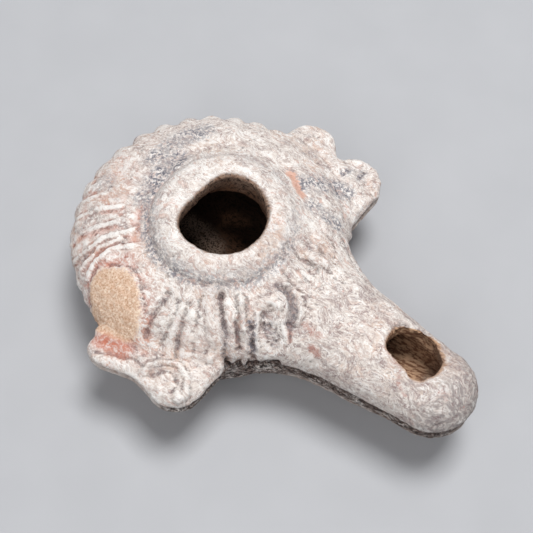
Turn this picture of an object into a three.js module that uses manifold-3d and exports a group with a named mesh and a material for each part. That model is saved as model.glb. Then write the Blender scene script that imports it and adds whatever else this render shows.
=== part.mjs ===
// A mould-made pottery oil lamp of the Hellenistic kind, fired in one piece: a ribbed bowl with a
// collared filling hole, two scrolled side lugs and a long blunt nozzle with a wick hole.
// Millimetres, +Z up. The origin is the centre of the foot's underside, and +X runs to the nozzle's tip.
import * as THREE from "three";
import { mergeVertices } from "three/addons/utils/BufferGeometryUtils.js";
import Module from "manifold-3d";

const wasm = await Module();
wasm.setup();

// Bowl
const BOWL_RADIUS = 29.2; // at the seam between the two mould halves, on the crests of the ribs
const SEAM_HEIGHT = 16;
const SEAM_STEP = 0.7; // the upper half stands out over the lower one by this much
const SHOULDER_RISE = 10.8; // from the seam to the shoulder's inner edge, at the foot of the collar
const DOME_POWER = 1.9; // how long the shoulder stays high before it falls to the seam
const BELLY_POWER = 3.2; // how square the lower half's wall is
const FOOT_RADIUS = 17.6;
const FOOT_HEIGHT = 1.4;
const WALL = 3.2;
const FLOOR = 3.6;

// Collar and filling hole
const FILL_X = 3.6; // the hole is set this far forward of the foot's centre
const FILL_RADIUS = 8.9;
const RIM_WIDTH = 3.2;
const COLLAR_WIDTH = 5.4; // from the hole to the groove at the collar's foot
const COLLAR_RISE = 4; // from that groove to the top of the rim

// Ribs on the shoulder
const RIBS = 36;
const RIB_DEPTH = 1;
const PLAIN_ANGLE = THREE.MathUtils.degToRad(27); // either side of the nozzle, left without ribs

// Nozzle
const NOZZLE_REACH = 34.4; // beyond the bowl
const ROOT_DEPTH = 7.2; // the root stands this far inside the bowl
const ROOT_HALF_WIDTH = 12.5; // before the flare
const TIP_HALF_WIDTH = 8.7;
const TIP_LENGTH = 9; // the rounded end
const ROOT_RISE = 8.8; // above the seam
const TIP_RISE = 8;
const ROOT_DROP = 10.6; // below the seam
const TIP_DROP = 6.3;
const UPPER_POWER = 2.2; // how square the nozzle's section is above the seam
const LOWER_POWER = 3.4; // and below it
const FLARE_LENGTH = 14; // from the root to where the flare has died out
const FLARE = 0.027; // its growth, per millimetre squared
const NOZZLE_SKEW = THREE.MathUtils.degToRad(2); // the nozzle was set a little askew
const NOZZLE_SHIFT = -0.9; // and to one side

// Wick hole
const WICK_LENGTH = 12.2;
const WICK_WIDTH = 8.6;
const WICK_TO_TIP = 8.2; // the clay left in front of it
const WICK_OFFSET = 1; // towards the +Y side
const CHANNEL_WALL = 3;

// Side lugs: a band behind and a scroll in front, seen from above
const LUG_RISE = 2.4; // above the seam
const LUG_THICKNESS = 5;
const LUG_BEVEL = 1.2;
const BAND_BACK = 3.2; // the band starts this far behind the foot's centre
const BAND_REACH = 6.4; // beyond the bowl
const NOTCH_X = 9; // the notch between the band and the scroll
const SCROLL_X = 15.2;
const SCROLL_INSET = 1; // from the bowl's widest line in to the scroll's centre
const SCROLL_RADIUS = 6;

// The two lugs differ: the notch is crisp on the +Y one and worn shallow on the other
const CRISP_LUG = { side: 1, corner: 6, swell: 2.8, notch: 2.2, approach: 2.6, scrollFrom: 140 };
const WORN_LUG = { side: -1, corner: 3.4, swell: 2.6, notch: 4.3, approach: 0, scrollFrom: 108 };

// The coil raised on each scroll
const COIL_RADIUS = 4.1;
const COIL_END = 1.3;
const COIL_TURNS = 1.5;
const COIL_FROM = THREE.MathUtils.degToRad(-120); // it winds in from the bowl's side
const COIL_SHIFT = 1.1; // its centre lies this far beyond the scroll's
const RIDGE = 0.85; // half the width of the raised line

// Bosses at the nozzle's root
const BOSS_FORWARD = 18.8; // of the filling hole's centre
const BOSS_SIDE = 8;
const BOSS_RADIUS = 3.4; // of the coil raised on each
const BOSS_LEAN = THREE.MathUtils.degToRad(20);

// Sizes that follow from these
const GROOVE_HEIGHT = SEAM_HEIGHT + SHOULDER_RISE;
const RIM_HEIGHT = GROOVE_HEIGHT + COLLAR_RISE;
const COLLAR_RADIUS = FILL_RADIUS + COLLAR_WIDTH;
const NOZZLE_TIP = BOWL_RADIUS + NOZZLE_REACH;
const NOZZLE_START = BOWL_RADIUS - ROOT_DEPTH;
const FLARE_END = NOZZLE_START + FLARE_LENGTH;
const WICK_X = NOZZLE_TIP - WICK_TO_TIP - WICK_LENGTH / 2;
const SCROLL_Y = BOWL_RADIUS - SCROLL_INSET;
const LUG_TOP = SEAM_HEIGHT + LUG_RISE;

const TURN = 2 * Math.PI;
const { clamp, lerp, smoothstep } = THREE.MathUtils;

/** A point on the quarter of a superellipse between (1, 0) and (0, 1), at t from 0 to 1. */
function quarter(t, power) {
  const angle = (t * Math.PI) / 2;
  return [Math.cos(angle) ** (2 / power), Math.sin(angle) ** (2 / power)];
}

/** A closed skin: a lathe whose every vertex is put in its place by ring and angle. */
function skin(rings, segments, place) {
  const last = rings.length - 1;
  const outline = rings.map((ring, j) => new THREE.Vector2(j === 0 || j === last ? 0 : 1, j));
  const geometry = new THREE.LatheGeometry(outline, segments);
  const position = geometry.getAttribute("position");
  for (let k = 0; k < position.count; k++) {
    const step = Math.floor(k / rings.length) % segments;
    const point = place(rings[k % rings.length], (step / segments) * TURN);
    position.setXYZ(k, point.x, point.y, point.z);
  }
  return geometry;
}

/** A closed three.js geometry as a solid that can be joined and cut. */
function solid(geometry) {
  const bare = geometry.clone();
  bare.deleteAttribute("normal");
  bare.deleteAttribute("uv");
  const merged = mergeVertices(bare, 1e-4);
  const corners = [];
  for (let i = 0; i < merged.index.count; i += 3) {
    const [a, b, c] = [0, 1, 2].map((n) => merged.index.getX(i + n));
    if (a !== b && b !== c && c !== a) corners.push(a, b, c);
  }
  return new wasm.Manifold(
    new wasm.Mesh({
      numProp: 3,
      vertProperties: merged.getAttribute("position").array,
      triVerts: new Uint32Array(corners),
    }),
  );
}

/** How far from the filling hole's axis a level ring of the bowl lies, in the direction of an angle. */
function reach(ring, angle) {
  const offset = FILL_X - ring.centre;
  const across = offset * Math.sin(angle);
  return Math.sqrt(Math.max(ring.radius ** 2 - across ** 2, 0)) - offset * Math.cos(angle);
}

/** The shoulder's level ring at t, from 0 at the seam to 1 at the foot of the collar, set in by a wall. */
function shoulderRing(t, wall = 0) {
  const [out, up] = quarter(t, DOME_POWER);
  const inner = COLLAR_RADIUS - wall / 2;
  return {
    radius: lerp(inner, BOWL_RADIUS - wall, out),
    height: lerp(SEAM_HEIGHT, GROOVE_HEIGHT - wall, up),
    centre: FILL_X * (1 - out),
    rib: smoothstep(1 - t, 0, 0.35),
  };
}

/** The lower half's level ring at t, from 0 at the floor to 1 at the seam, set in by a wall. */
function bellyRing(t, low, wall) {
  const [out, down] = quarter(1 - t, BELLY_POWER);
  return {
    radius: lerp(FOOT_RADIUS - wall, BOWL_RADIUS - SEAM_STEP - wall, out),
    height: lerp(SEAM_HEIGHT - SEAM_STEP, low, down),
    centre: 0,
    rib: 0,
  };
}

function level(radius, height, centre) {
  return { radius, height, centre, rib: 0 };
}

function steps(count, make) {
  return Array.from({ length: count }, (unused, i) => make(i / (count - 1)));
}

/** How far a rib stands at an angle, from 0 in a groove to 1 on a crest; plain beside the nozzle. */
function ribHeight(angle) {
  const fromNozzle = Math.abs(Math.atan2(Math.sin(angle), Math.cos(angle)));
  const wave = Math.abs(Math.sin((angle * RIBS) / 2)) ** 0.7;
  const plain = 1 - smoothstep(fromNozzle, PLAIN_ANGLE, PLAIN_ANGLE + TURN / RIBS);
  return lerp(wave, 0.8, plain);
}

function bowlPoint(ring, angle) {
  const sunk = RIB_DEPTH * ring.rib * (1 - ribHeight(angle));
  const distance = reach(ring, angle) - sunk * 0.8;
  return new THREE.Vector3(
    FILL_X + distance * Math.cos(angle),
    distance * Math.sin(angle),
    ring.height - sunk * 0.6 * smoothstep(ring.height, SEAM_HEIGHT, GROOVE_HEIGHT),
  );
}

/** The bowl as a solid, with its foot below and its collar on top. */
function bowl() {
  const rings = [
    level(0, 0, FILL_X),
    level(FOOT_RADIUS - 1, 0, 0),
    ...steps(5, (t) => bellyRing(t, FOOT_HEIGHT, 0)),
    ...steps(8, (t) => shoulderRing(t)),
    level(COLLAR_RADIUS - 1, lerp(GROOVE_HEIGHT, RIM_HEIGHT, 0.45), FILL_X),
    level(FILL_RADIUS + RIM_WIDTH, lerp(GROOVE_HEIGHT, RIM_HEIGHT, 0.82), FILL_X),
    level(FILL_RADIUS + RIM_WIDTH / 2, RIM_HEIGHT, FILL_X),
    level(FILL_RADIUS - 0.4, RIM_HEIGHT - 0.8, FILL_X),
    level(0, RIM_HEIGHT - 0.8, FILL_X),
  ];
  return solid(skin(rings, RIBS * 4, bowlPoint));
}

/** The hollow inside the bowl, a wall's thickness in from its skin. */
function bowlHollow() {
  const rings = [
    level(0, FLOOR, FILL_X),
    ...steps(5, (t) => bellyRing(t, FLOOR, WALL)),
    ...steps(7, (t) => shoulderRing(t, WALL)),
    level(0, GROOVE_HEIGHT - WALL, FILL_X),
  ];
  return solid(skin(rings, 36, bowlPoint));
}

/** The nozzle's section at a place along it. The scale shrinks the rounded end. */
function nozzleSection(x, scale) {
  const along = clamp((x - NOZZLE_START) / (NOZZLE_TIP - TIP_LENGTH - NOZZLE_START), 0, 1);
  const flare = FLARE * Math.max(FLARE_END - x, 0) ** 2;
  return {
    x,
    halfWidth: scale * (lerp(ROOT_HALF_WIDTH, TIP_HALF_WIDTH, along) + flare),
    rise: scale * lerp(ROOT_RISE, TIP_RISE, along),
    drop: scale * lerp(ROOT_DROP, TIP_DROP, along),
  };
}

/** The nozzle's sections from root to tip, set in by a wall. */
function nozzleSections(wall) {
  const tipStart = NOZZLE_TIP - TIP_LENGTH;
  const straight = steps(9, (t) => nozzleSection(lerp(NOZZLE_START, tipStart, t), 1));
  const round = steps(7, (t) => {
    const [along, scale] = quarter(1 - t, 2.2);
    return nozzleSection(tipStart + (TIP_LENGTH - wall) * along, scale);
  });
  const sections = [...straight, ...round.slice(1)].map((section) => ({
    x: section.x,
    halfWidth: Math.max(section.halfWidth - wall, 0),
    rise: Math.max(section.rise - wall, 0),
    drop: Math.max(section.drop - wall, 0),
  }));
  const root = { x: NOZZLE_START, halfWidth: 0, rise: 0, drop: 0 };
  return [root, ...sections];
}

function signedPower(value, power) {
  return Math.sign(value) * Math.abs(value) ** power;
}

function nozzlePoint(section, angle) {
  const upper = Math.sin(angle) > 0;
  const power = 2 / (upper ? UPPER_POWER : LOWER_POWER);
  const height = upper ? section.rise : section.drop;
  const point = new THREE.Vector3(
    section.x,
    section.halfWidth * signedPower(Math.cos(angle), power),
    height * signedPower(Math.sin(angle), power),
  );
  point.applyAxisAngle(new THREE.Vector3(0, 0, 1), NOZZLE_SKEW);
  return point.add(new THREE.Vector3(0, NOZZLE_SHIFT, SEAM_HEIGHT));
}

function nozzle(wall, segments) {
  return solid(skin(nozzleSections(wall), segments, nozzlePoint));
}

/** The outline of a lug seen from above, drawn towards +Y. */
function lugShape({ corner, swell, notch, approach, scrollFrom }) {
  const shape = new THREE.Shape();
  const inside = BOWL_RADIUS - LUG_THICKNESS * 2;
  const reach = BOWL_RADIUS + BAND_REACH;
  const bandTop = corner - BAND_BACK;
  const low = BOWL_RADIUS + notch;
  const from = THREE.MathUtils.degToRad(scrollFrom);
  shape.moveTo(-BAND_BACK, inside);
  shape.lineTo(-BAND_BACK, reach - corner);
  shape.quadraticCurveTo(-BAND_BACK, reach, bandTop, reach);
  shape.bezierCurveTo(bandTop + swell, reach, NOTCH_X - 3, low + approach, NOTCH_X, low);
  shape.absarc(SCROLL_X, SCROLL_Y, SCROLL_RADIUS, from, 0, true);
  shape.lineTo(SCROLL_X + SCROLL_RADIUS, inside);
  return shape;
}

/** A raised line that winds inwards, counter-clockwise, about the origin. */
function coil() {
  const points = steps(25, (t) => {
    const angle = COIL_FROM + t * COIL_TURNS * TURN;
    const radius = lerp(COIL_RADIUS, COIL_END, t);
    return new THREE.Vector3(radius * Math.cos(angle), radius * Math.sin(angle), 0);
  });
  const bead = new THREE.Shape().absarc(0, 0, RIDGE, 0, TURN);
  return new THREE.ExtrudeGeometry(bead, {
    steps: 28,
    curveSegments: 3,
    bevelEnabled: false,
    extrudePath: new THREE.CatmullRomCurve3(points),
  });
}

function lug(sizes) {
  const plate = new THREE.ExtrudeGeometry(lugShape(sizes), {
    depth: LUG_THICKNESS - 2 * LUG_BEVEL,
    bevelThickness: LUG_BEVEL,
    bevelSize: LUG_BEVEL,
    bevelOffset: -LUG_BEVEL,
    bevelSegments: 2,
    curveSegments: 10,
  });
  plate.translate(0, 0, LUG_TOP - LUG_THICKNESS + LUG_BEVEL);
  const line = coil().translate(SCROLL_X, SCROLL_Y + COIL_SHIFT, LUG_TOP);
  const whole = solid(plate).add(solid(line));
  return sizes.side > 0 ? whole : whole.mirror([0, 1, 0]);
}

/** The shoulder's height over a place on the plan. */
function shoulderHeight(x, y) {
  let [low, high] = [0, 1];
  for (let i = 0; i < 24; i++) {
    const middle = (low + high) / 2;
    const ring = shoulderRing(middle);
    if (Math.hypot(x - ring.centre, y) < ring.radius) low = middle;
    else high = middle;
  }
  return shoulderRing(low).height;
}

/** A small coil that leans with the shoulder, beside the nozzle's root on the +Y side. */
function boss() {
  const [x, y] = [FILL_X + BOSS_FORWARD, BOSS_SIDE];
  const size = BOSS_RADIUS / COIL_RADIUS;
  const line = coil().scale(size, size, 1);
  line.rotateX(-BOSS_LEAN).rotateY(BOSS_LEAN);
  return solid(line.translate(x, y, shoulderHeight(x, y) - RIDGE * 0.3));
}

/** The filling hole, straight down through the collar into the hollow. */
function fillHole() {
  const depth = RIM_HEIGHT - SEAM_HEIGHT + 2;
  const hole = new THREE.CylinderGeometry(FILL_RADIUS, FILL_RADIUS, depth, 40);
  hole.rotateX(Math.PI / 2);
  hole.translate(FILL_X, 0, SEAM_HEIGHT + depth / 2);
  return solid(hole);
}

/** The wick hole, an oval cut down into the nozzle's channel. */
function wickHole() {
  const depth = TIP_RISE + 2;
  const hole = new THREE.CylinderGeometry(1, 1, depth, 28);
  hole.rotateX(Math.PI / 2);
  hole.scale(WICK_LENGTH / 2, WICK_WIDTH / 2, 1);
  hole.translate(WICK_X, WICK_OFFSET, SEAM_HEIGHT + depth / 2);
  hole.rotateZ(NOZZLE_SKEW);
  hole.translate(0, NOZZLE_SHIFT, 0);
  return solid(hole);
}

function lampGeometry() {
  const outside = bowl()
    .add(nozzle(0, 32))
    .add(lug(CRISP_LUG))
    .add(lug(WORN_LUG))
    .add(boss())
    .add(boss().mirror([0, 1, 0]));
  const body = outside
    .subtract(bowlHollow())
    .subtract(nozzle(CHANNEL_WALL, 20))
    .subtract(fillHole())
    .subtract(wickHole());
  const mesh = body.simplify(0.02).getMesh();
  const geometry = new THREE.BufferGeometry();
  geometry.setAttribute("position", new THREE.BufferAttribute(mesh.vertProperties, 3));
  geometry.setIndex(new THREE.BufferAttribute(mesh.triVerts, 1));
  geometry.computeVertexNormals();
  return geometry;
}

const clay = new THREE.MeshStandardMaterial({ color: 0xd8cbbf, roughness: 0.92, metalness: 0 });
const lamp = new THREE.Mesh(lampGeometry(), clay);
lamp.name = "lamp";

const group = new THREE.Group();
group.add(lamp);

export default group;
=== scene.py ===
"""The looks of a fired clay oil lamp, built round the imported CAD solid.

Everything is in metres in the shared frame: +Z up, +X to the nozzle's tip, the origin at the centre of the
foot's underside. The relief's own sizes and places are in millimetres, as in the part's source.
"""

import math
from functools import reduce

import bmesh
import bpy
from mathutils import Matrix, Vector


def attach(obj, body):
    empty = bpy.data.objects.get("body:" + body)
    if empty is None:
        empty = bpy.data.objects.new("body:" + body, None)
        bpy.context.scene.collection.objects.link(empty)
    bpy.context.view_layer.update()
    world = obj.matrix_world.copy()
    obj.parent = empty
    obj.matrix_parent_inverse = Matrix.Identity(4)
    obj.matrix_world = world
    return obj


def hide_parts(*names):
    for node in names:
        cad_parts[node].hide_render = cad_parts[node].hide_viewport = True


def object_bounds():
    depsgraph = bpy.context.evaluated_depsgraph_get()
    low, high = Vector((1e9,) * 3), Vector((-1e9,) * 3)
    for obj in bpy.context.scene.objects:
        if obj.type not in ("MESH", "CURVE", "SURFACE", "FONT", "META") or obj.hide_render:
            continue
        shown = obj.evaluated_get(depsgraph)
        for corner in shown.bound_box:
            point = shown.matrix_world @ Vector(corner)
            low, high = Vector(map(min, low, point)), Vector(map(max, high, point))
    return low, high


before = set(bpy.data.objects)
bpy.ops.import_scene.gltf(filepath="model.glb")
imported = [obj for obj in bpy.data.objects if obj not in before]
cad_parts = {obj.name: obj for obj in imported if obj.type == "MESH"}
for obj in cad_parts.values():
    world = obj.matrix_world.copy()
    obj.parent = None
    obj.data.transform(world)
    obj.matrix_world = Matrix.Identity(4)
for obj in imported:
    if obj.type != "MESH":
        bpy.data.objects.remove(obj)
cad_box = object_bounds()

MM = 0.001

# ---------------------------------------------------------------- sizes shared with the part's source

BOWL_RADIUS = 29.2
SEAM_HEIGHT = 16.0
SHOULDER_RISE = 10.8
DOME_POWER = 1.9
FILL_X = 3.6
COLLAR_RADIUS = 14.3
RIBS = 36
RIB_DEPTH = 1.0
PLAIN_ANGLE = math.radians(27)
WICK_CENTRE = (49.33, 1.82)  # after the nozzle's skew and shift
WICK_HALF = (6.1, 4.3)

# ---------------------------------------------------------------- node trees written as Python


class Wire:
    """A socket in a node tree. Arithmetic on it adds Math nodes, or Vector Math nodes where it carries a vector."""

    def __init__(self, tree, socket):
        self.tree, self.socket = tree, socket
        self.is_vector = socket.type in ("VECTOR", "RGBA")

    def _calc(self, operation, a, b):
        vector = any(isinstance(v, Wire) and v.is_vector for v in (a, b))
        kind = "ShaderNodeVectorMath" if vector else "ShaderNodeMath"
        return self.tree.node(kind, {"operation": operation}, [a, b])

    def __add__(self, other):
        return self._calc("ADD", self, other)

    def __radd__(self, other):
        return self._calc("ADD", other, self)

    def __sub__(self, other):
        return self._calc("SUBTRACT", self, other)

    def __rsub__(self, other):
        return self._calc("SUBTRACT", other, self)

    def __mul__(self, other):
        plain = isinstance(other, (int, float)) or (isinstance(other, Wire) and not other.is_vector)
        if self.is_vector and plain:
            return self.tree.node("ShaderNodeVectorMath", {"operation": "SCALE"}, {"Vector": self, "Scale": other})
        return self._calc("MULTIPLY", self, other)

    __rmul__ = __mul__

    def __truediv__(self, other):
        return self._calc("DIVIDE", self, other)

    def __pow__(self, other):
        return self._calc("POWER", self, other)

    def __abs__(self):
        return self.tree.node("ShaderNodeMath", {"operation": "ABSOLUTE"}, [self])

    def at_least(self, other):
        return self._calc("MAXIMUM", self, other)

    def at_most(self, other):
        return self._calc("MINIMUM", self, other)

    def dot(self, other):
        return self.tree.node("ShaderNodeVectorMath", {"operation": "DOT_PRODUCT"}, [self, other], "Value")

    def length(self):
        return self.tree.node("ShaderNodeVectorMath", {"operation": "LENGTH"}, [self], "Value")

    def unit(self):
        return self.tree.node("ShaderNodeVectorMath", {"operation": "NORMALIZE"}, [self])

    def parts(self):
        return [self.tree.node("ShaderNodeSeparateXYZ", None, [self], axis) for axis in "XYZ"]

    def rise(self, low, high, bottom=0.0, top=1.0):
        """Goes smoothly from bottom to top as the value goes from low to high."""
        values = {"Value": self, "From Min": low, "From Max": high, "To Min": bottom, "To Max": top}
        return self.tree.node("ShaderNodeMapRange", {"interpolation_type": "SMOOTHSTEP"}, values, "Result")

    def fall(self, low, high):
        """Goes smoothly from 1 to 0 as the value goes from low to high."""
        return self.rise(low, high, 1.0, 0.0)


class Tree:
    """A node tree of a material or of Geometry Nodes, with one method that adds any node."""

    def __init__(self, tree):
        self.tree = tree

    @staticmethod
    def _pick(sockets, key):
        if isinstance(key, int):
            return sockets[key]
        for socket in sockets:
            if socket.identifier == key:
                return socket
        return next(socket for socket in sockets if socket.name == key and socket.enabled)

    def node(self, kind, settings=None, values=None, out=0):
        """Adds a node, sets its settings, then its sockets' values or links, and returns one of its outputs."""
        node = self.tree.nodes.new(kind)
        for name, value in (settings or {}).items():
            setattr(node, name, value)
        pairs = values.items() if isinstance(values, dict) else enumerate(values or [])
        for key, value in pairs:
            socket = self._pick(node.inputs, key)
            if isinstance(value, Wire):
                self.tree.links.new(value.socket, socket)
            elif value is not None:
                socket.default_value = value
        return Wire(self, self._pick(node.outputs, out)) if node.outputs else node

    def vector(self, x, y, z):
        return self.node("ShaderNodeCombineXYZ", None, [x, y, z])

    def noise(self, point, scale, detail=2.0, roughness=0.5, shift=0.0):
        """Noise from 0 to 1 about 0.5, with its grain 1 / scale across. A shift gives another pattern."""
        place = point + (shift, shift * 0.7, shift * 1.3) if shift else point
        values = {"Vector": place, "Scale": scale, "Detail": detail, "Roughness": roughness}
        return self.node("ShaderNodeTexNoise", None, values)

    def mix(self, base, over, amount):
        """A colour over another one."""
        values = {"Factor_Float": amount, "A_Color": base, "B_Color": over}
        return self.node("ShaderNodeMix", {"data_type": "RGBA"}, values, "Result_Color")

    def distance(self, point, line):
        """How far a point is from a line drawn through several places."""
        apart_from_all = []
        for start, end in zip(line, line[1:]) if len(line) > 1 else [(line[0], line[0])]:
            a, b = Vector(start), Vector(end)
            if (b - a).length < 1e-6:
                apart = (point - tuple(a)).length()
            else:
                run = b - a
                along = ((point - tuple(a)).dot(tuple(run)) / run.length_squared).at_least(0.0).at_most(1.0)
                scaled = {"Vector": tuple(run), "Scale": along}
                foot = self.node("ShaderNodeVectorMath", {"operation": "SCALE"}, scaled)
                apart = (point - tuple(a) - foot).length()
            apart_from_all.append(apart)
        return reduce(Wire.at_most, apart_from_all)


def smoothstep(value, low, high):
    t = min(max((value - low) / (high - low), 0.0), 1.0)
    return t * t * (3 - 2 * t)


def linear(red, green, blue):
    """A colour given as it looks on a screen, from 0 to 255, as the shader wants it."""
    parts = [c / 255 for c in (red, green, blue)]
    return (*[c / 12.92 if c <= 0.04045 else ((c + 0.055) / 1.055) ** 2.4 for c in parts], 1.0)


# ---------------------------------------------------------------- the clay body, before its relief

# The side of the skin's squares, in millimetres. Blurs count steps from one square to the next, so they go with it
SKIN_SQUARE = 0.5
SKY_BLUR = 2
WEAR_BLUR = 24
HOLLOW_BLUR = 9
CREVICE_BLUR = 3

# How far the even moulded grooves are worn down: from angle, to angle (degrees about the filling hole), share
WORN = (
    (-100, -30, 0.85),
    (-150, -100, 0.6),
    (20, 180, 0.6),
    (-180, -150, 0.6),
)


def groove_depth(angle, height):
    """How deep the part's even grooves are cut at a place on the shoulder, in millimetres."""
    rise = min(max((height - SEAM_HEIGHT) / SHOULDER_RISE, 0.0), 1.0)
    t = math.asin(rise ** (DOME_POWER / 2)) / (math.pi / 2)
    wave = abs(math.sin(angle * RIBS / 2)) ** 0.7
    plain = 1 - smoothstep(abs(angle), PLAIN_ANGLE, PLAIN_ANGLE + 2 * math.pi / RIBS)
    stands = wave + (0.8 - wave) * plain
    return RIB_DEPTH * smoothstep(1 - t, 0, 0.35) * (1 - stands)


def shoulder_radius(height):
    """The shoulder's radius at a height, and where its centre lies along X, in millimetres."""
    rise = min(max((height - SEAM_HEIGHT) / SHOULDER_RISE, 0.0), 1.0)
    out = (1 - rise ** DOME_POWER) ** (1 / DOME_POWER)
    return COLLAR_RADIUS + (BOWL_RADIUS - COLLAR_RADIUS) * out, FILL_X * (1 - out)


def wear_grooves(mesh):
    """Fills the even grooves of the mould part of the way, where the real lamp is worn or ribbed otherwise."""
    for vertex in mesh.vertices:
        x, y, z = vertex.co / MM
        if not SEAM_HEIGHT + 0.2 < z < SEAM_HEIGHT + SHOULDER_RISE - 0.2:
            continue
        radius, centre = shoulder_radius(z)
        if abs(math.hypot(x - centre, y) - radius) > 1.5:
            continue
        angle = math.atan2(y, x - FILL_X)
        degrees = math.degrees(angle)
        share = max([s for low, high, s in WORN if low <= degrees <= high], default=0.0)
        if degrees > 20 or degrees < -150:
            share *= smoothstep(z, 17.5, 21)
        depth = groove_depth(angle, z) * share
        lift = depth * 0.6 * smoothstep(z, SEAM_HEIGHT, SEAM_HEIGHT + SHOULDER_RISE)
        vertex.co += Vector((math.cos(angle) * depth * 0.8, math.sin(angle) * depth * 0.8, lift)) * MM


def clay_body():
    """A merged copy of the CAD lamp, made an even skin of small squares."""
    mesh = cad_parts["lamp"].data.copy()
    build = bmesh.new()
    build.from_mesh(mesh)
    bmesh.ops.remove_doubles(build, verts=build.verts, dist=1e-6)
    build.to_mesh(mesh)
    build.free()
    mesh.materials.clear()
    needed = ("position", ".edge_verts", ".corner_vert", ".corner_edge")
    for name in [a.name for a in mesh.attributes if a.name not in needed]:
        if not mesh.attributes[name].is_required:
            mesh.attributes.remove(mesh.attributes[name])
    wear_grooves(mesh)
    body = bpy.data.objects.new("clay_body", mesh)
    bpy.context.scene.collection.objects.link(body)
    remesh = body.modifiers.new("even skin", "REMESH")
    remesh.mode = "VOXEL"
    remesh.voxel_size = SKIN_SQUARE * MM
    smooth = body.modifiers.new("softened edges", "SMOOTH")
    smooth.factor = 0.5
    smooth.iterations = 3
    return body


# ---------------------------------------------------------------- relief: lines cut in or raised on the clay

# The hollow round the near side's knob
CRESCENT = ((21.0, -4.0, 26.0), (23.0, -3.7, 24.9), (25.0, -4.6, 24.6), (26.4, -6.2, 24.2), (26.9, -7.8, 23.3))

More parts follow.
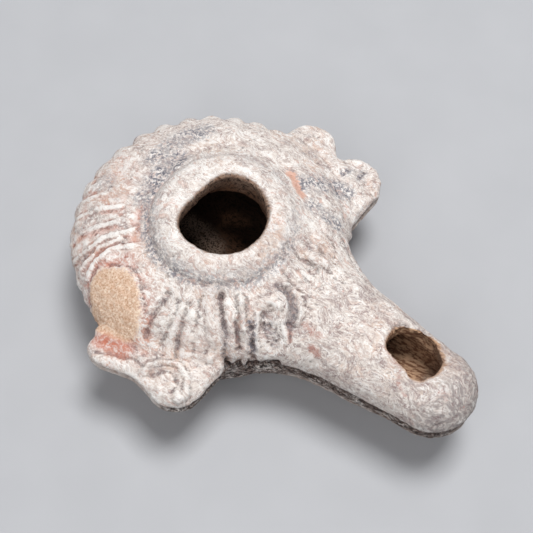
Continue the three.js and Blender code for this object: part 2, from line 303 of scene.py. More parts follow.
# Half width, height (below zero it is cut in) and the places it runs through, in millimetres
LINES = {
    "deep groove": (0.95, -1.6, ((13.5, -12.2, 26.5), (17.7, -16.6, 23.3), (21.2, -20.2, 16.4))),
    "flat ridge beside it": (1.2, 0.6, ((11.6, -13.4, 26.5), (15.2, -17.6, 23.3), (18.3, -21.4, 17.4))),
    "first slot": (0.8, -1.0, ((18.9, -14.4, 24.6), (20.3, -15.7, 23.0), (21.6, -16.9, 21.0))),
    "first narrow ridge": (0.7, 1.0, ((16.9, -10.4, 26.3), (20.6, -14.1, 22.9), (23.5, -17.2, 16.2))),
    "second slot": (0.75, -0.9, ((21.6, -13.0, 23.6), (22.8, -14.2, 22.0), (23.5, -15.2, 20.6))),
    "second narrow ridge": (0.5, 0.7, ((21.0, -10.4, 24.8), (23.4, -13.6, 22.0), (24.6, -15.0, 19.0))),
    "mottled hollow": (1.8, -0.75, ((22.8, -10.2, 24.4), (24.6, -11.0, 22.8), (26.2, -12.0, 21.6))),
    "stroke in the hollow": (0.4, 0.5, ((23.7, -10.0, 23.8), (26.2, -11.5, 21.6))),
    "second stroke in the hollow": (0.35, -0.5, ((23.0, -11.2, 23.4), (25.4, -12.7, 21.5))),
    "cut beside the small ridge": (0.5, -0.6, ((26.7, -7.9, 23.5), (28.7, -9.8, 22.2))),
    "crevice under the ribs": (0.9, -0.8, (
        (20.8, -19.4, 16.8), (23.6, -17.6, 16.6), (25.8, -15.9, 16.6), (28.6, -13.6, 16.6))),
    "crevice behind the ridge": (0.8, -1.1, ((24.0, -16.0, 19.2), (25.2, -16.2, 17.4))),
    "small ridge": (0.55, 0.55, ((25.6, -8.4, 24.0), (28.3, -10.5, 21.9))),
    "crescent": (1.2, -0.55, CRESCENT),
    "bright ridge": (0.42, 0.85, (
        (21.2, -2.6, 26.0), (22.8, -1.9, 25.2), (24.6, -2.3, 24.7), (26.6, -3.7, 24.4),
        (27.6, -5.2, 24.2), (27.9, -7.2, 23.7))),
    "knob": (1.2, 0.5, ((20.9, -8.4, 25.7), (21.8, -7.3, 25.2), (23.2, -6.8, 25.4))),
    "near root crease": (0.6, -0.35, (
        (19.5, -0.8, 26.6), (23.2, -1.7, 25.0), (25.9, -2.6, 24.6), (28.4, -3.2, 24.5))),
    "far root crease": (0.6, -0.3, (
        (16.8, 3.5, 28.0), (20.3, 3.5, 26.3), (23.3, 4.5, 24.7), (26.1, 5.7, 24.2), (29.4, 5.6, 24.0))),
    "tongue at the root": (0.6, 0.3, ((17.5, 3.2, 26.8), (21.5, 2.0, 25.9), (26.2, 1.8, 24.6))),
    "fine crease by the boss": (0.35, -0.25, ((24.2, -1.3, 24.7), (27.3, -1.5, 24.6), (29.7, -2.2, 24.5))),
    "far root ridge": (0.7, 0.3, ((18.0, 5.2, 26.6), (22.6, 6.0, 25.2), (26.6, 7.2, 23.9), (30.0, 7.2, 23.4))),
    "far boss edge": (0.6, -0.3, (
        (20.6, 11.5, 24.8), (22.5, 11.7, 23.3), (24.3, 10.3, 23.7), (25.5, 7.8, 24.6))),
    "far neck line": (0.5, -0.3, ((21.2, 14.9, 21.9), (24.0, 14.4, 20.4), (27.4, 11.8, 20.9))),
    "far flank line": (0.5, -0.2, ((27.3, 11.5, 21.2), (31.8, 9.9, 21.3), (35.4, 10.2, 20.0))),
    "near rib groove one": (1.15, -0.7, ((5.2, -18.6, 25.9), (5.6, -23.6, 23.9), (5.9, -26.4, 20.4))),
    "near rib groove two": (1.15, -0.6, ((7.8, -18.4, 25.8), (8.8, -22.4, 23.9), (9.6, -25.8, 20.4))),
    "near rib groove three": (1.15, -0.65, ((9.6, -17.6, 25.8), (11.6, -22.4, 22.8), (12.4, -25.0, 20.0))),
    "near rib groove four": (0.9, -0.45, ((11.0, -15.6, 26.2), (13.8, -20.4, 23.0), (15.4, -23.4, 19.0))),
    "far scroll hollow": (0.6, -0.35, ((13.3, 29.6, 18.4), (12.9, 27.9, 18.9))),
    "far scroll cut": (0.55, -0.4, ((15.9, 31.2, 18.4), (16.2, 28.9, 18.4))),
    "far scroll rim": (0.8, 0.4, (
        (11.4, 31.6, 18.4), (14.0, 33.2, 18.4), (17.0, 33.2, 18.4), (19.4, 31.4, 18.4),
        (20.6, 28.9, 18.2))),
    "far scroll line": (0.5, -0.15, ((14.4, 26.5, 18.4), (18.4, 26.5, 18.9), (20.7, 28.7, 18.1))),
    "near scroll ridge": (0.75, 0.7, (
        (9.7, -31.6, 18.4), (10.0, -29.8, 18.4), (11.8, -27.6, 18.4), (14.5, -26.4, 18.4),
        (17.4, -27.5, 18.4), (19.2, -29.7, 18.6), (18.7, -31.7, 18.3))),
    "near scroll hollow": (0.8, -0.5, (
        (11.6, -31.0, 18.4), (12.6, -29.4, 18.4), (14.6, -28.4, 18.4), (16.8, -29.6, 18.4),
        (17.0, -31.6, 18.4))),
    "near lug step": (0.6, -0.45, (
        (-0.8, -34.4, 18.2), (1.5, -33.2, 18.4), (4.0, -31.7, 18.4), (7.0, -30.7, 18.4),
        (8.8, -30.6, 18.4))),
    "near lug edge line": (0.4, 0.3, ((3.1, -33.4, 18.4), (4.9, -33.0, 18.4), (6.9, -32.9, 18.3))),
    "left crest one": (0.65, 0.42, ((-16.7, -22.5, 18.9), (-12.9, -16.4, 25.0), (-9.2, -12.2, 26.5))),
    "left crest two": (0.6, 0.4, ((-13.6, -23.7, 20.5), (-12.9, -19.0, 23.4), (-9.9, -15.1, 25.7))),
    "left crest three": (0.6, 0.4, (
        (-11.2, -24.5, 20.3), (-11.7, -21.8, 23.0), (-10.3, -18.0, 24.8), (-7.2, -15.1, 26.3))),
    "left crest four": (0.65, 0.32, ((-20.3, -19.6, 17.7), (-17.4, -16.3, 23.1), (-13.1, -12.4, 25.8))),
    "left crest five": (0.7, 0.32, ((-23.1, -15.2, 18.7), (-19.0, -12.4, 23.4), (-15.0, -9.5, 25.8))),
    "left crest six": (0.7, 0.25, ((-24.2, -11.8, 20.6), (-20.3, -8.6, 23.4))),
    "scratch across the tip": (0.35, -0.25, ((59.3, -5.8, 19.4), (60.9, -4.0, 20.0))),
    "chip in the back edge": (1.0, -0.3, ((-6.5, 24.8, 22.1), (-3.6, 26.6, 20.2))),
    "worn wick edge": (1.7, -0.8, ((43.6, 4.6, 23.7), (45.0, 6.2, 23.0), (47.6, 6.8, 22.7))),
}

# The lines that hold dirt and painted shade
DIRT_AND_SHADE_LINES = (
    "deep groove", "first slot", "second slot", "mottled hollow", "cut beside the small ridge",
    "crevice under the ribs", "crevice behind the ridge",
)
# How far out from its middle a ridge keeps its full height and a cut its full depth, as shares of the half width
RIDGE_CORE = 0.4
CUT_CORE = 0.1
# A line is read from above, so heights count for less in the distance to it
HEIGHT_SHARE = 0.35

# The crust's centre and its two slanting half lengths, seen from above
CRUST_CENTRE = (-2.6, -25.2)
CRUST_AXES = ((3.5, -4.3), (4.2, 1.9))

# Rays that look for open sky: how many, how far off the skin they start and how far they go, in millimetres
SKY_RAYS = 14
SKY_START = 0.3
SKY_REACH = 60.0


def sky_directions(count):
    """Directions spread evenly over a ball."""
    golden = math.pi * (3 - math.sqrt(5))
    for k in range(count):
        height = 1 - 2 * (k + 0.5) / count
        ring = math.sqrt(1 - height * height)
        yield (ring * math.cos(golden * k), ring * math.sin(golden * k), height)


def add_input(group, name, kind, value=None):
    socket = group.interface.new_socket(name=name, in_out="INPUT", socket_type=kind)
    if value is not None:
        socket.default_value = value
    return socket.identifier


def store(t, geometry, name, value):
    values = {"Geometry": geometry, "Name": name, "Value": value}
    return t.node("GeometryNodeStoreNamedAttribute", {"data_type": "FLOAT", "domain": "POINT"}, values)


def clay_relief(material):
    """The Geometry Nodes tree of the relief, and the identifiers of its named inputs."""
    group = bpy.data.node_groups.new("clay relief", "GeometryNodeTree")
    sockets = {"Geometry": add_input(group, "Geometry", "NodeSocketGeometry")}
    for name, value in RELIEF.items():
        sockets[name] = add_input(group, name, "NodeSocketFloat", value)
    for name, corner in (("Low corner", cad_box[0]), ("High corner", cad_box[1])):
        sockets[name] = add_input(group, name, "NodeSocketVector", tuple(corner))
    sockets["Clay"] = add_input(group, "Clay", "NodeSocketMaterial")
    group.interface.new_socket(name="Geometry", in_out="OUTPUT", socket_type="NodeSocketGeometry")

    t = Tree(group)
    entry = group.nodes.new("NodeGroupInput")
    given = {name: Wire(t, t._pick(entry.outputs, key)) for name, key in sockets.items()}
    normal = t.node("GeometryNodeInputNormal")
    point = t.node("GeometryNodeInputPosition") * (1 / MM)
    px, py, pz = point.parts()

    # How much open sky each place sees, from which the outside is told from the inside
    free = []
    for direction in sky_directions(SKY_RAYS):
        values = {
            "Target Geometry": given["Geometry"],
            "Source Position": t.node("GeometryNodeInputPosition") + normal * (SKY_START * MM),
            "Ray Direction": (normal + tuple(0.95 * c for c in direction)).unit(),
            "Ray Length": SKY_REACH * MM,
        }
        free.append(1.0 - t.node("GeometryNodeRaycast", None, values, "Is Hit"))
    values = {"Value": reduce(Wire.__add__, free) / SKY_RAYS, "Iterations": SKY_BLUR}
    sky = t.node("GeometryNodeBlurAttribute", {"data_type": "FLOAT"}, values)
    skin = store(t, given["Geometry"], "sky", sky)
    sky = t.node("GeometryNodeInputNamedAttribute", {"data_type": "FLOAT"}, {"Name": "sky"}, "Attribute")
    outside = sky.rise(0.16, 0.4)

    def blurred(value, iterations):
        """A vector on the skin, averaged with its neighbours again and again."""
        values = {"Value": value, "Iterations": iterations}
        return t.node("GeometryNodeBlurAttribute", {"data_type": "FLOAT_VECTOR"}, values, "Value")

    # Ribs of the mould worn smooth: behind, on the left, and near where other ones are cut further on
    sx = px - FILL_X
    angle = t.node("ShaderNodeMath", {"operation": "ARCTAN2"}, [py, sx])
    spread = (sx * sx + py * py) ** 0.5
    shoulder = spread.rise(15.0, 16.6) * spread.fall(25.6, 28.2) * pz.rise(17.0, 19.5) * outside
    far = py.rise(-2.0, 8.0)
    groove = (spread.rise(11.5, 13.0) * spread.fall(16.0, 18.0) * far * pz.rise(20.0, 22.0)) * outside
    behind = angle.rise(0.3, 0.65) + angle.fall(-2.75, -2.5)
    nearby = angle.rise(-1.9, -1.7) * angle.fall(-0.6, -0.45)
    left = angle.rise(-2.75, -2.5) * angle.fall(-1.9, -1.7) * given["Wear on the left"]
    lugs = py.fall(-28.5, -27.5) * 0.35 + py.rise(27.0, 28.0) * 0.15
    joint = spread.rise(24.5, 26.0) * spread.fall(30.0, 32.5) * abs(py).rise(19.0, 22.0) * px.rise(-3.5, -1.5)
    lugs = (lugs + joint) * pz.rise(17.3, 18.0) * outside
    worn = ((behind + nearby + left).at_most(1.0) * shoulder + groove + lugs).at_most(1.0)
    here = t.node("GeometryNodeInputPosition")
    offset = (blurred(here, WEAR_BLUR) - here) * worn
    skin = t.node("GeometryNodeSetPosition", None, {"Geometry": skin, "Offset": offset})

    # Places are shaken a little, so that no line runs true
    shake = t.node("ShaderNodeTexNoise", None, {"Vector": point, "Scale": 0.32, "Detail": 2.0}, "Color")
    shaken = point + (shake - (0.5, 0.5, 0.5)) * given["Unevenness of lines"]
    tremble = t.node("ShaderNodeTexNoise", None, {"Vector": point, "Scale": 1.1, "Detail": 2.0}, "Color")
    shaken = shaken + (tremble - (0.5, 0.5, 0.5)) * given["Raggedness of lines"]
    flat = shaken * (1.0, 1.0, HEIGHT_SHARE)

    def line_distance(places):
        return t.distance(flat, [(x, y, z * HEIGHT_SHARE) for x, y, z in places])

    def spot(places, core, edge):
        return line_distance(places).fall(core, edge)

    heights, cuts = [], []
    for name, (half, amount, places) in LINES.items():
        mark = line_distance(places).fall(half * (RIDGE_CORE if amount > 0 else CUT_CORE), half)
        heights.append(mark * amount)
        if name in DIRT_AND_SHADE_LINES:
            cuts.append(mark)
    strength = t.noise(point, 0.55, 2.0, 0.5, 91.0).rise(0.3, 0.6, 0.75, 1.15)
    height = reduce(Wire.__add__, heights) * strength * given["Line depth"]

    # Unevenness of the hand-worked, worn and crusted clay, from broad to fine
    broad = t.noise(point, 0.11, 2.0) - 0.5
    middle = t.noise(point, 0.42, 3.0, 0.55, 7.0) - 0.5
    fine = t.noise(point, 1.15, 3.0, 0.6, 13.0) - 0.5
    height = height + broad * given["Broad waves"] + middle * given["Middle lumps"] + fine * given["Fine grain"]
    pits = t.noise(point, 0.9, 2.0, 0.5, 31.0).rise(0.62, 0.76)
    height = height - pits * given["Pit depth"]

    # Behind, the collar's foot is filled up and only the outline keeps the scallops of the ribs
    above = pz.rise(16.2, 17.4)
    wave = abs(t.node("ShaderNodeMath", {"operation": "SINE"}, [angle * (RIBS / 2)]))
    edge = spread.rise(25.5, 28.0) * px.fall(-4.5, -2.5) * pz.rise(15.6, 16.6) * pz.fall(19.5, 22.0) * far * outside
    height = height + joint * pz.rise(17.3, 18.0) * pz.fall(19.5, 21.5) * given["Fillet at the lugs"]
    height = height + abs(spread - COLLAR_RADIUS).fall(0.5, 2.6) * above * given["Groove filling"]
    height = height + groove * given["Groove filling behind"] + (wave - 0.75) * edge * given["Edge scallops"]

    # The raised ochre crust on the left shoulder: a skewed, rounded patch
    (ax, ay), (bx, by) = CRUST_AXES
    det = ax * by - ay * bx
    qx, qy, _ = shaken.parts()
    dx, dy = qx - CRUST_CENTRE[0], qy - CRUST_CENTRE[1]
    u = (dx * by - dy * bx) / det
    v = (dy * ax - dx * ay) / det
    ring = (abs(u) ** 3.0 + abs(v) ** 3.0) ** (1 / 3)
    crust = ring.fall(1.12, 1.3) * above * outside
    grit = t.noise(point, 1.1, 4.0, 0.75, 3.0) - 0.5
    height = height * (1.0 - crust * 0.8) + crust * (given["Crust height"] + grit * given["Crust grit"])

    # The seam between the two mould halves
    level = abs(pz + (t.noise(point, 0.25, 2.0, 0.5, 41.0) - 0.5) * 1.6 - SEAM_HEIGHT)
    seam = level.fall(0.15, 0.8) * outside
    height = height - seam * given["Seam depth"]

    # Striations in the channel under the wick hole
    turned = t.vector(px * 0.16 + py * 0.1, py * 1.1 - px * 0.3, pz * 1.1)
    fibres = (t.noise(turned, 1.3, 3.0, 0.6) - 0.5) * px.rise(38.0, 42.0)
    height = height + (1.0 - outside) * fibres * given["Channel striations"]

    def facing(value, degrees, core, edge):
        """1 where an angle is near a bearing, 0 beyond."""
        turn = t.node("ShaderNodeMath", {"operation": "WRAP"}, [value - math.radians(degrees), math.pi, -math.pi])
        return abs(turn).fall(core, edge)

    # Inside the filling hole the clay swells a little towards -X, as the hole's outline shows
    bulge = spread.fall(9.3, 12.5) * pz.rise(24.5, 27.5)
    swell = facing(angle, 176, 0.1, 1.15) * bulge * given["Hole swelling"]

    # The foot's underside is left true at its ring and scooped a little within it
    centre = (px * px + py * py) ** 0.5
    under = pz.fall(0.3, 1.2)
    scoop = centre.fall(11.5, 14.0) * pz.fall(0.2, 0.9)
    height = height * (1.0 - under) - scoop * given["Foot scoop"]

    # The wick hole is ragged on its far side and leans out of its oval at three bearings
    ragged = (t.noise(point, 0.9, 2.0, 0.5, 17.0) - 0.5) * 1.1
    wx, wy = px - WICK_CENTRE[0], py - WICK_CENTRE[1]
    wick_ring = ((wx * wx) / WICK_HALF[0] ** 2 + (wy * wy) / WICK_HALF[1] ** 2) ** 0.5
    wick_ring = wick_ring + (ragged - 0.35) * wy.rise(-1.0, 4.0) * 0.3
    wick_angle = t.node("ShaderNodeMath", {"operation": "ARCTAN2"}, [wy, wx])
    lean = facing(wick_angle, -112, 0.3, 0.9) * 1.3 + facing(wick_angle, -5, 0.2, 0.7) * 0.9
    lean = lean - facing(wick_angle, 110, 0.5, 1.2) * 0.8
    lean = lean * wick_ring.fall(1.15, 1.55) * pz.rise(18.0, 20.5) * given["Wick hole's lean"]

    # Painted shadow on the near side under the seam and under the ribs by the nozzle
    level_noise = (t.noise(point, 0.6, 3.0, 0.6, 19.0) - 0.5) * 5.0
    ribs_foot = px.rise(14.0, 19.0) * px.fall(28.0, 34.0) * py.fall(-13.5, -10.5)
    ribs_foot = ribs_foot * (pz + level_noise * 0.4).fall(16.2, 17.2)
    shaded_underside = (pz + level_noise).rise(11.0, 14.5) * py.fall(-6.0, 0.0) * px.rise(13.0, 21.0)
    shaded_underside = (pz + level_noise * 0.35).fall(15.2, 16.9) * shaded_underside

    # What the clay's material reads from the skin, taken before it moves
    ring_edge = abs(spread - COLLAR_RADIUS + 0.2)
    near_ring = angle.rise(-3.2, -2.4) * angle.fall(0.2, 0.9)
    patina = ring_edge.fall(0.4, 2.2) * (0.2 + near_ring * 0.32) * above
    for places, core, edge, amount in PATINA:
        patina = patina.at_least(spot(places, core, edge) * amount * above)
    rust = reduce(Wire.at_least, [spot(places, core, edge) * amount for places, core, edge, amount in RUSTY])
    fill_mouth = (spread + ragged * 0.5 - far * 0.3).fall(9.0, 9.4) * pz.rise(22.0, 24.0)
    wick_mouth = wick_ring.fall(1.02, 1.12) * pz.rise(16.0, 18.0)
    marks = {
        "crust": ring.fall(0.9, 1.4) * above * outside,
        "blush": ring.fall(1.3, 2.2) * outside,
        "patina": patina,
        "rust": rust * outside,
        "cut": reduce(Wire.at_least, cuts) * outside,
        "seam": seam * px.rise(14.0, 26.0),
        "salmon": spot(SALMON, 0.4, 2.6) * outside,
        "flake": spot(FLAKE, 0.2, 1.5) * outside,
        # A painted pool of light on the bowl's floor
        "floor": spot(FLOOR, 0.8, 3.8) * (1.0 - outside) * pz.fall(6.0, 8.0),
        "mouth": fill_mouth.at_least(wick_mouth),
        # Painted shadow on the near underside and at the foot of the near ribs
        "under": shaded_underside.at_least(ribs_foot),
        # Painted shade on the lower half
        "below": (pz + level_noise * 0.5).fall(14.5, 16.5),
    }
    for name, value in marks.items():
        skin = store(t, skin, name, value)

    to_filling_hole = t.vector(sx * -1.0, py * -1.0, 0.0).unit()
    to_wick_hole = t.vector(wx * -1.0, wy * -1.0, 0.0).unit()
    offset = (normal * height + to_filling_hole * swell + to_wick_hole * lean) * MM
    moved = t.node("GeometryNodeSetPosition", None, {"Geometry": skin, "Offset": offset})
    place = t.node("GeometryNodeInputPosition")
    kept = place.at_least(given["Low corner"]).at_most(given["High corner"])
    moved = t.node("GeometryNodeSetPosition", None, {"Geometry": moved, "Position": kept})

    def hollow_by(iterations):
        """How far the skin lies below its neighbours' average, in millimetres."""
        return (blurred(place, iterations) - place).dot(normal) / MM

    moved = store(t, moved, "hollow", hollow_by(HOLLOW_BLUR))
    moved = store(t, moved, "crevice", hollow_by(CREVICE_BLUR))
    real = t.node("GeometryNodeRealizeInstances", None, [moved])
    smooth = t.node("GeometryNodeSetShadeSmooth", None, {"Geometry": real, "Shade Smooth": True})
    done = t.node("GeometryNodeSetMaterial", None, {"Geometry": smooth, "Material": given["Clay"]})
    leave = group.nodes.new("NodeGroupOutput")
    group.links.new(done.socket, leave.inputs[0])
    return group, sockets


# The relief's named sizes, in millimetres
RELIEF = {
    "Line depth": 1.0,
    "Unevenness of lines": 1.3,
    "Raggedness of lines": 0.8,
    "Wear on the left": 0.45,
    "Groove filling behind": 0.5,
    "Groove filling": 0.55,
    "Fillet at the lugs": 0.7,
    "Edge scallops": 0.8,
    "Broad waves": 0.9,
    "Middle lumps": 0.5,
    "Fine grain": 0.42,
    "Pit depth": 0.22,
    "Crust height": 0.75,
    "Crust grit": 0.9,
    "Seam depth": 0.3,
    "Channel striations": 1.1,
    "Hole swelling": 2.3,
    "Foot scoop": 0.7,
    "Wick hole's lean": 1.0,
}

# Where grey patina lies, apart from the collar's foot: places, full within, gone beyond (millimetres), strength
PATINA = (
    (((10.5, 17.6, 25.6), (12.7, 21.5, 23.4), (15.6, 24.3, 18.4)), 1.2, 3.2, 0.85),
    (((14.6, 14.6, 26.0), (17.7, 14.9, 24.9), (20.5, 15.7, 22.9)), 0.6, 2.2, 0.8),
    (((-13.1, 5.9, 26.0), (-13.6, -0.2, 26.3), (-11.8, -5.3, 26.6)), 1.2, 3.4, 1.0),
    (((-14.5, 15.6, 23.0), (-16.6, 10.5, 24.6), (-17.6, 3.4, 25.2)), 1.0, 3.6, 0.8),
    (((-22.6, -6.4, 23.3),), 0.5, 3.2, 0.5),
    (((-10.2, -6.6, 26.6), (-6.4, -11.4, 26.6), (-0.6, -14.0, 26.6), (5.6, -14.2, 26.6)), 0.5, 2.2, 0.75),
    (((13.3, 29.6, 18.4), (12.9, 27.9, 18.9)), 0.2, 1.3, 0.9),
    (((15.9, 31.2, 18.4), (16.2, 28.9, 18.4)), 0.2, 1.2, 0.9),
    (CRESCENT, 0.6, 1.5, 0.6),
    (((22.8, -10.2, 24.4), (26.2, -12.0, 21.6)), 0.6, 1.8, 0.35),
    (((21.2, -12.3, 24.4), (23.5, -15.2, 20.4)), 0.3, 1.2, 1.0),
    (((17.7, -16.6, 23.3), (20.0, -19.0, 19.0)), 0.2, 1.2, 0.7),
)
# Where reddish clay or a reddish line shows, in the same way
RUSTY = (
    (((43.3, -0.5, 24.2), (46.8, -2.7, 23.8), (49.6, -4.0, 23.2), (52.3, -5.2, 22.2)), 0.0, 0.7, 0.9),
    (((32.5, -8.7, 21.9), (34.3, -8.5, 21.7)), 0.2, 1.2, 1.0),
    (((28.9, -6.4, 23.7), (32.4, -6.2, 23.4)), 0.2, 1.4, 0.8),
    (((26.8, -8.0, 23.5), (28.6, -9.8, 22.2)), 0.2, 0.9, 1.0),
    (((57.2, -1.1, 23.5), (58.7, -1.2, 23.0)), 0.2, 1.3, 0.5),
    (((10.5, -21.0, 23.8), (12.6, -22.6, 22.0)), 0.5, 2.6, 0.5),
    (((19.5, -15.0, 24.0), (21.0, -16.6, 21.6)), 0.1, 0.8, 0.8),
)
# The salmon band by the near lug, the flaked spot, and the painted pool of light on the bowl's pitted floor
SALMON = ((-1.6, -32.0, 18.4), (1.4, -31.2, 18.4), (4.4, -29.8, 18.4))
FLAKE = ((6.5, 17.8, 26.0), (9.1, 16.2, 26.3), (11.8, 14.7, 26.4))
FLOOR = ((-11.0, 4.6, 3.6), (-7.5, 4.8, 3.6), (-3.0, 4.2, 3.6))


# ---------------------------------------------------------------- the fired clay's colours

CREAM = linear(224, 214, 206)
CHALK = linear(248, 245, 241)
PUTTY = linear(194, 181, 174)
MAUVE = linear(152, 134, 132)
PINK = linear(208, 170, 156)
SALMON_RED = linear(196, 116, 92)
RUST = linear(160, 92, 74)
PLUM = linear(122, 92, 92)
DOVE = linear(182, 178, 180)
ASH = linear(150, 142, 140)
SLATE = linear(104, 103, 112)
COAL_AND_SHADOW = linear(30, 26, 26)
OCHRE = linear(218, 184, 158)
OCHRE_DARK = linear(172, 130, 98)
SAND = linear(242, 224, 204)
APRICOT = linear(216, 156, 128)
DIRT_AND_SHADE = linear(104, 88, 84)
SHADOW_BROWN = linear(92, 70, 62)
LOWER_SHADE = linear(176, 158, 146)
UMBER = linear(126, 90, 68)
TAN = linear(192, 156, 126)
SOOT_AND_SHADE = linear(22, 15, 11)
PAINTED_LIGHT_FAWN = linear(176, 150, 132)


def fired_clay():
    """The clay's material. It reads its noise from the piece's own coordinates and its marks from the relief."""
    material = bpy.data.materials.new("fired_clay")
    material.use_nodes = True
    material.node_tree.nodes.clear()
    t = Tree(material.node_tree)
    point = t.node("ShaderNodeTexCoord", None, None, "Object") * (1 / MM)

    def mark(name):
        return t.node("ShaderNodeAttribute", {"attribute_name": name}, None, "Fac")

    hollow, crevice, sky = mark("hollow"), mark("crevice"), mark("sky")
    crust, patina, cut, seam = mark("crust"), mark("patina"), mark("cut"), mark("seam")
    rust, flake = mark("rust"), mark("flake")
    px, py, pz = point.parts()

    patches = t.noise(point, 0.085, 3.0, 0.6)
    clouds = t.noise(point, 0.3, 3.0, 0.6, 11.0)
    drift = t.node("ShaderNodeTexNoise", None, {"Vector": point, "Scale": 0.16, "Detail": 2.0}, "Color")
    flow = (point + (drift - (0.5, 0.5, 0.5)) * 7.0) * (0.6, 1.25, 1.0)
    mottle = t.noise(flow, 1.25, 5.0, 0.68, 23.0)
    speckle = t.noise(point, 2.6, 4.0, 0.72, 37.0)
    grain = t.noise(point, 5.5, 2.0, 0.6, 51.0)
    worms = t.noise(flow, 0.8, 5.0, 0.62, 29.0)
    blots = t.noise(flow, 0.42, 4.0, 0.6, 43.0)

    # Pale slip over darker clay, rubbed and crusted in a fine mottle with chalky threads and dark ones between
    rough = patches.rise(0.45, 0.62) * 0.35 + hollow.rise(-0.05, 0.2) * 0.4 + px.fall(8.0, 30.0) * 0.3
    rough = rough.at_most(1.0)
    thick = mottle * 0.6 + speckle * 0.4 + (clouds - 0.5) * 0.5 - hollow * 0.2 - px.rise(26.0, 36.0) * 0.02
    warm = 1.0 - (py.rise(0.0, 12.0) * px.fall(0.0, 12.0) * 0.6).at_least(px.rise(22.0, 32.0) * 0.55)
    colour = t.mix(PUTTY, CREAM, thick.rise(0.4, 0.52))
    colour = t.mix(colour, PINK, worms.fall(0.38, 0.46) * (0.25 + clouds.rise(0.4, 0.6) * 0.5) * warm)
    dark_threads = abs(worms - 0.43).fall(0.004, 0.022)
    bare = dark_threads * (0.35 + rough * 0.5) + thick.fall(0.36, 0.43) * (0.3 + rough * 0.6)
    colour = t.mix(colour, MAUVE, bare.at_most(1.0))
    blotted = blots.fall(0.4, 0.47) * thick.fall(0.42, 0.6)
    colour = t.mix(colour, MAUVE, blotted * (0.3 + rough * 0.45 + px.rise(24.0, 34.0) * 0.25))
    threads = abs(worms - 0.5).fall(0.006, 0.03)
    chalky = threads * (0.85 - px.rise(26.0, 36.0) * 0.3) + thick.rise(0.54, 0.6) * 0.75
    colour = t.mix(colour, CHALK, chalky.at_most(1.0) * 0.95)
    rosy = (patches.rise(0.42, 0.62) * 0.7 + px.fall(-26.0, -6.0) * 0.4) * clouds.rise(0.3, 0.62)
    colour = t.mix(colour, PINK, (rosy * (0.25 + thick.fall(0.42, 0.54) * 0.75)).at_most(1.0) * warm * 0.75)
    beige = (patches - 0.5 + (clouds - 0.5) * 0.6).rise(0.02, 0.16)
    colour = t.mix(colour, OCHRE, beige * thick.fall(0.46, 0.58) * 0.4)

    # The slip ends at a line beside the wick hole; the tip beyond it is greyer, and its far end is darker still as
    # painted shade
    beyond = (px * 0.463 + py * 0.887 - 19.6).rise(-0.3, 0.6) * px.rise(41.0, 46.0)
    grey_tip_and_shade = (beyond * 0.25 + px.rise(53.0, 60.0) * 0.62).at_most(1.0)
    colour = t.mix(colour, ASH, grey_tip_and_shade * (0.35 + mottle.fall(0.42, 0.56) * 0.65))

    # On the left the ribs' crests are rubbed pale and reddish clay shows between them
    side = px.fall(-9.0, -3.0) * py.fall(-9.0, 4.0)
    colour = t.mix(colour, SALMON_RED, side * hollow.rise(-0.04, 0.12) * clouds.rise(0.34, 0.54) * 0.42)
    colour = t.mix(colour, CHALK, side * hollow.fall(-0.14, -0.02) * thick.rise(0.4, 0.52) * 0.5)

    # A reddish blush round the crust
    blush = mark("blush") * clouds.rise(0.34, 0.54) * thick.fall(0.42, 0.6)
    colour = t.mix(colour, SALMON_RED, blush * 0.5)

    # Thin reddish veins and flecks, and the reddish stains
    vein = abs(t.noise(flow, 0.32, 5.0, 0.6, 61.0) - 0.5).fall(0.004, 0.018) * speckle.rise(0.4, 0.52)
    colour = t.mix(colour, PLUM, vein * (0.3 + px.rise(14.0, 24.0) * 0.4))
    flecks = t.noise(point, 0.75, 4.0, 0.7, 71.0).rise(0.66, 0.72)
    colour = t.mix(colour, SALMON_RED, flecks * 0.4)
    stained = (rust * 0.8 + (speckle - 0.5) * 2.4 + (mottle - 0.5)).rise(0.3, 0.8) * rust.rise(0.02, 0.3)
    colour = t.mix(colour, RUST, stained * 0.6)

    # Grey patina, speckled, in the hollows and where it has gathered
    grey = patina * (0.5 + clouds.rise(0.4, 0.54) * 0.55) + hollow.rise(0.1, 0.34) * 0.25
    grey = (grey + patches.rise(0.56, 0.7) * 0.18).at_most(1.0)
    worn = t.noise(point, 1.5, 4.0, 0.75, 97.0)
    colour = t.mix(colour, DOVE, grey * worn.rise(0.42, 0.5) * 0.8)
    colour = t.mix(colour, SLATE, grey * worn.rise(0.48, 0.55) * 0.95)

    # Dirt in the cuts and in every fine crevice, partly painted shade, and black specks along the seam
    dirt_and_shade = (crevice.rise(0.03, 0.12) * 0.5 + cut * hollow.rise(0.3, 0.9) * 0.55).at_most(1.0)
    colour = t.mix(colour, DIRT_AND_SHADE, dirt_and_shade * 0.6)
    black = seam * t.noise(point, 1.0, 4.0, 0.75, 83.0).rise(0.44, 0.52) + dirt_and_shade * speckle.fall(0.42, 0.55) * 0.8
    colour = t.mix(colour, COAL_AND_SHADOW, black.at_most(1.0) * 0.9)

    # The lower half is painted darker as shade, and the near underside and the foot of the near ribs are painted
    # dark as shadow
    colour = t.mix(colour, LOWER_SHADE, mark("below") * (0.35 + thick.fall(0.4, 0.6) * 0.45))
    # Painted shadow, dark brown and black, on the near underside and at the foot of the near ribs
    under = mark("under") * (0.6 + mottle.fall(0.42, 0.58) * 0.4)
    colour = t.mix(colour, SHADOW_BROWN, under * thick.fall(0.44, 0.6) * 0.9)
    colour = t.mix(colour, COAL_AND_SHADOW, under * worn.rise(0.44, 0.52) * 0.9)

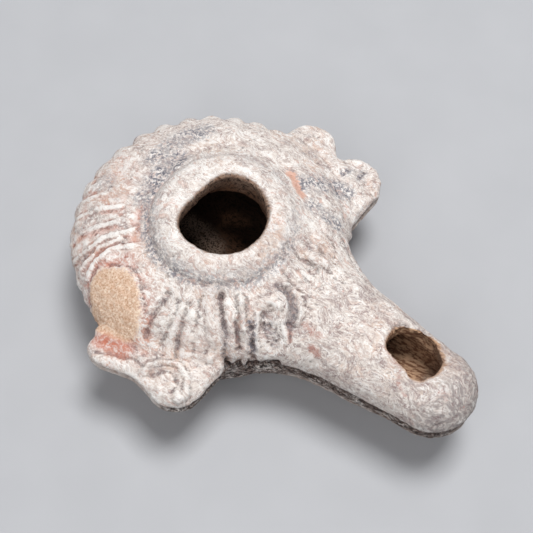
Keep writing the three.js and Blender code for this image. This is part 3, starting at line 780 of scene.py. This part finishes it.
    # Ochre crust, the salmon band by the near lug and the flaked spot
    coarse = speckle * 0.7 + t.noise(point, 1.3, 3.0, 0.6, 67.0) * 0.3
    sandy = t.mix(t.mix(OCHRE, SAND, coarse.rise(0.5, 0.58) * 0.8), OCHRE_DARK, coarse.fall(0.4, 0.48) * 0.7)
    colour = t.mix(colour, sandy, (crust + (coarse - 0.5) * 2.4).rise(0.3, 0.7) * crust.rise(0.05, 0.35))
    salmon = mark("salmon") * (0.5 + clouds.rise(0.35, 0.6) * 0.4)
    colour = t.mix(colour, SALMON_RED, salmon * (0.45 + thick.fall(0.46, 0.58) * 0.55))
    flaked = (flake + (mottle - 0.5) * 2.2 + (speckle - 0.5) * 2.0).rise(0.35, 0.75)
    colour = t.mix(colour, APRICOT, flaked * flake.rise(0.05, 0.3) * 0.65)

    # Inside: brown at the mouths, sooty further in, with long strands under the wick hole, and painted light and
    # shade
    along = t.vector(px * 0.22 + py * 0.12, py * 1.2 - px * 0.35, pz * 1.2)
    strands = t.noise(along, 1.8, 3.0, 0.65, 5.0)
    inner = t.mix(UMBER, TAN, strands.rise(0.44, 0.56) * px.rise(36.0, 42.0))
    # Painted light: paler where the inside sees more sky, near the openings, and at the wick hole's end
    painted_light_inside = sky.rise(0.22, 0.5) * px.fall(34.0, 40.0) * 0.7 + px.rise(50.0, 54.0) * 0.6
    inner = t.mix(inner, PAINTED_LIGHT_FAWN, painted_light_inside * strands.rise(0.34, 0.48))
    sooty = (speckle.rise(0.52, 0.6) * 0.5 + mottle.rise(0.5, 0.58) * 0.6).at_most(1.0)
    inner = t.mix(inner, SOOT_AND_SHADE, sooty * px.fall(40.0, 46.0))
    # Painted shade: black where the inside sees little sky
    inner = t.mix(inner, SOOT_AND_SHADE, sky.fall(0.05, 0.2) * px.fall(24.0, 34.0) * 0.85)
    # A painted pool of light on the bowl's pitted floor
    inner = t.mix(inner, PAINTED_LIGHT_FAWN, mark("floor") * speckle.rise(0.42, 0.54) * 0.9)
    colour = t.mix(colour, inner, sky.fall(0.2, 0.42).at_least(mark("mouth")))

    relief = mottle * 0.2 + speckle * 0.13 + grain * 0.05 + threads * 0.02
    normal = t.node("ShaderNodeBump", None, {"Strength": 0.9, "Distance": MM, "Height": relief})
    dull = 0.93 - patina * 0.12 - speckle.rise(0.55, 0.65) * 0.06
    values = {"Base Color": colour, "Roughness": dull, "Normal": normal, "Specular IOR Level": 0.3}
    shader = t.node("ShaderNodeBsdfPrincipled", None, values)
    t.node("ShaderNodeOutputMaterial", None, {"Surface": shader})
    return material


def make_lamp():
    """The dressed lamp: the clay body with its relief, as a plain mesh."""
    material = fired_clay()
    body = clay_body()
    group, sockets = clay_relief(material)
    relief = body.modifiers.new("clay relief", "NODES")
    relief.node_group = group
    for name, value in RELIEF.items():
        relief[sockets[name]] = value
    relief[sockets["Low corner"]] = tuple(cad_box[0])
    relief[sockets["High corner"]] = tuple(cad_box[1])
    relief[sockets["Clay"]] = material
    seen = body.evaluated_get(bpy.context.evaluated_depsgraph_get())
    mesh = bpy.data.meshes.new_from_object(seen)
    bpy.data.objects.remove(body)
    lamp = bpy.data.objects.new("fired_clay", mesh)
    bpy.context.scene.collection.objects.link(lamp)
    print("fired_clay has", sum(len(p.vertices) - 2 for p in mesh.polygons), "triangles")
    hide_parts("lamp")
    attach(lamp, "root")


# ---------------------------------------------------------------- floor, light and camera


def floor_material():
    material = bpy.data.materials.new("floor_card")
    material.use_nodes = True
    material.node_tree.nodes.clear()
    t = Tree(material.node_tree)
    point = t.node("ShaderNodeTexCoord", None, None, "Object")
    tone = t.mix(linear(176, 177, 180), linear(184, 185, 188), t.noise(point, 60.0, 2.0))
    values = {"Base Color": tone, "Roughness": 0.95, "Specular IOR Level": 0.2}
    shader = t.node("ShaderNodeBsdfPrincipled", None, values)
    t.node("ShaderNodeOutputMaterial", None, {"Surface": shader})
    return material


FLOOR_HALF = 3.0


def make_floor():
    mesh = bpy.data.meshes.new("floor")
    half = FLOOR_HALF
    mesh.from_pydata([(-half, -half, 0), (half, -half, 0), (half, half, 0), (-half, half, 0)], [], [(0, 1, 2, 3)])
    mesh.materials.append(floor_material())
    floor = bpy.data.objects.new("floor", mesh)
    bpy.context.scene.collection.objects.link(floor)


def area_light(name, azimuth, elevation, distance, size, power, target=(0.012, 0.003, 0.014)):
    """A square light round the lamp. Azimuth 0 stands on the -Y side and 90 on +X, in degrees."""
    a, e = math.radians(azimuth), math.radians(elevation)
    back = Vector((math.sin(a) * math.cos(e), -math.cos(a) * math.cos(e), math.sin(e)))
    light = bpy.data.lights.new(name, "AREA")
    light.size, light.energy = size, power
    lamp = bpy.data.objects.new(name, light)
    lamp.location = Vector(target) + back * distance
    lamp.rotation_euler = back.to_track_quat("Z", "Y").to_euler()
    bpy.context.scene.collection.objects.link(lamp)


CAMERA_AZIMUTH = math.radians(38.97)
CAMERA_ELEVATION = math.radians(62.22)
CAMERA_TARGET = Vector((12.4, 2.9, 14.2)) * MM
CAMERA_DISTANCE = 237 * MM
FOCAL_PIXELS = 1151.1
FRAME_PIXELS = 533


def make_camera():
    """The camera at the photo's angle, fitted to the lamp's outline."""
    a, e = CAMERA_AZIMUTH, CAMERA_ELEVATION
    back = Vector((math.sin(a) * math.cos(e), -math.cos(a) * math.cos(e), math.sin(e)))
    lens = bpy.data.cameras.new("camera")
    lens.sensor_width = 36
    lens.lens = FOCAL_PIXELS / FRAME_PIXELS * lens.sensor_width
    lens.clip_start = 0.01
    camera = bpy.data.objects.new("camera", lens)
    camera.location = CAMERA_TARGET + back * CAMERA_DISTANCE
    camera.rotation_euler = back.to_track_quat("Z", "Y").to_euler()
    bpy.context.scene.collection.objects.link(camera)
    bpy.context.scene.camera = camera


def make_light():
    world = bpy.data.worlds.new("studio")
    world.use_nodes = True
    world.node_tree.nodes["Background"].inputs["Color"].default_value = (0.93, 0.95, 1.0, 1.0)
    world.node_tree.nodes["Background"].inputs["Strength"].default_value = 0.2
    bpy.context.scene.world = world
    bpy.context.scene.view_settings.view_transform = "Standard"
    area_light("key", 172, 78, 0.8, 0.3, 6.1)
    area_light("fill", 20, 50, 0.9, 0.7, 2.6)


make_camera()
make_floor()
make_light()
make_lamp()
